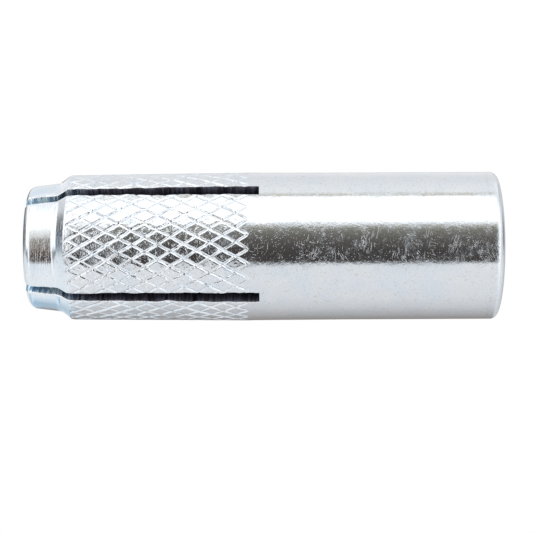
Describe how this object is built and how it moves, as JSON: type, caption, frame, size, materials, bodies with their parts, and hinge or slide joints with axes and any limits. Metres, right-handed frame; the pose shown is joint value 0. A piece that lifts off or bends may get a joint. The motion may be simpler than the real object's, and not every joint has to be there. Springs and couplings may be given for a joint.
{
  "type": "drop in anchor",
  "caption": "Drop-in anchor: knurled, slotted zinc-plated steel sleeve with a threaded mouth, a stepped nose and a cone-nosed expander plug inside.",
  "frame": {"origin": "centre of the nose tip, on the sleeve's axis", "axes": "+Z along the sleeve's axis from the nose tip to the threaded mouth; +X and +Y through the saw cuts"},
  "size_m": [0.0158, 0.0158, 0.05],
  "materials": {
    "zinc": "bright zinc plating",
    "plug_steel": "plain turned steel"
  },
  "bodies": {
    "root": {"sleeve": "zinc", "expander_plug": "plug_steel"}
  },
  "joints": []
}
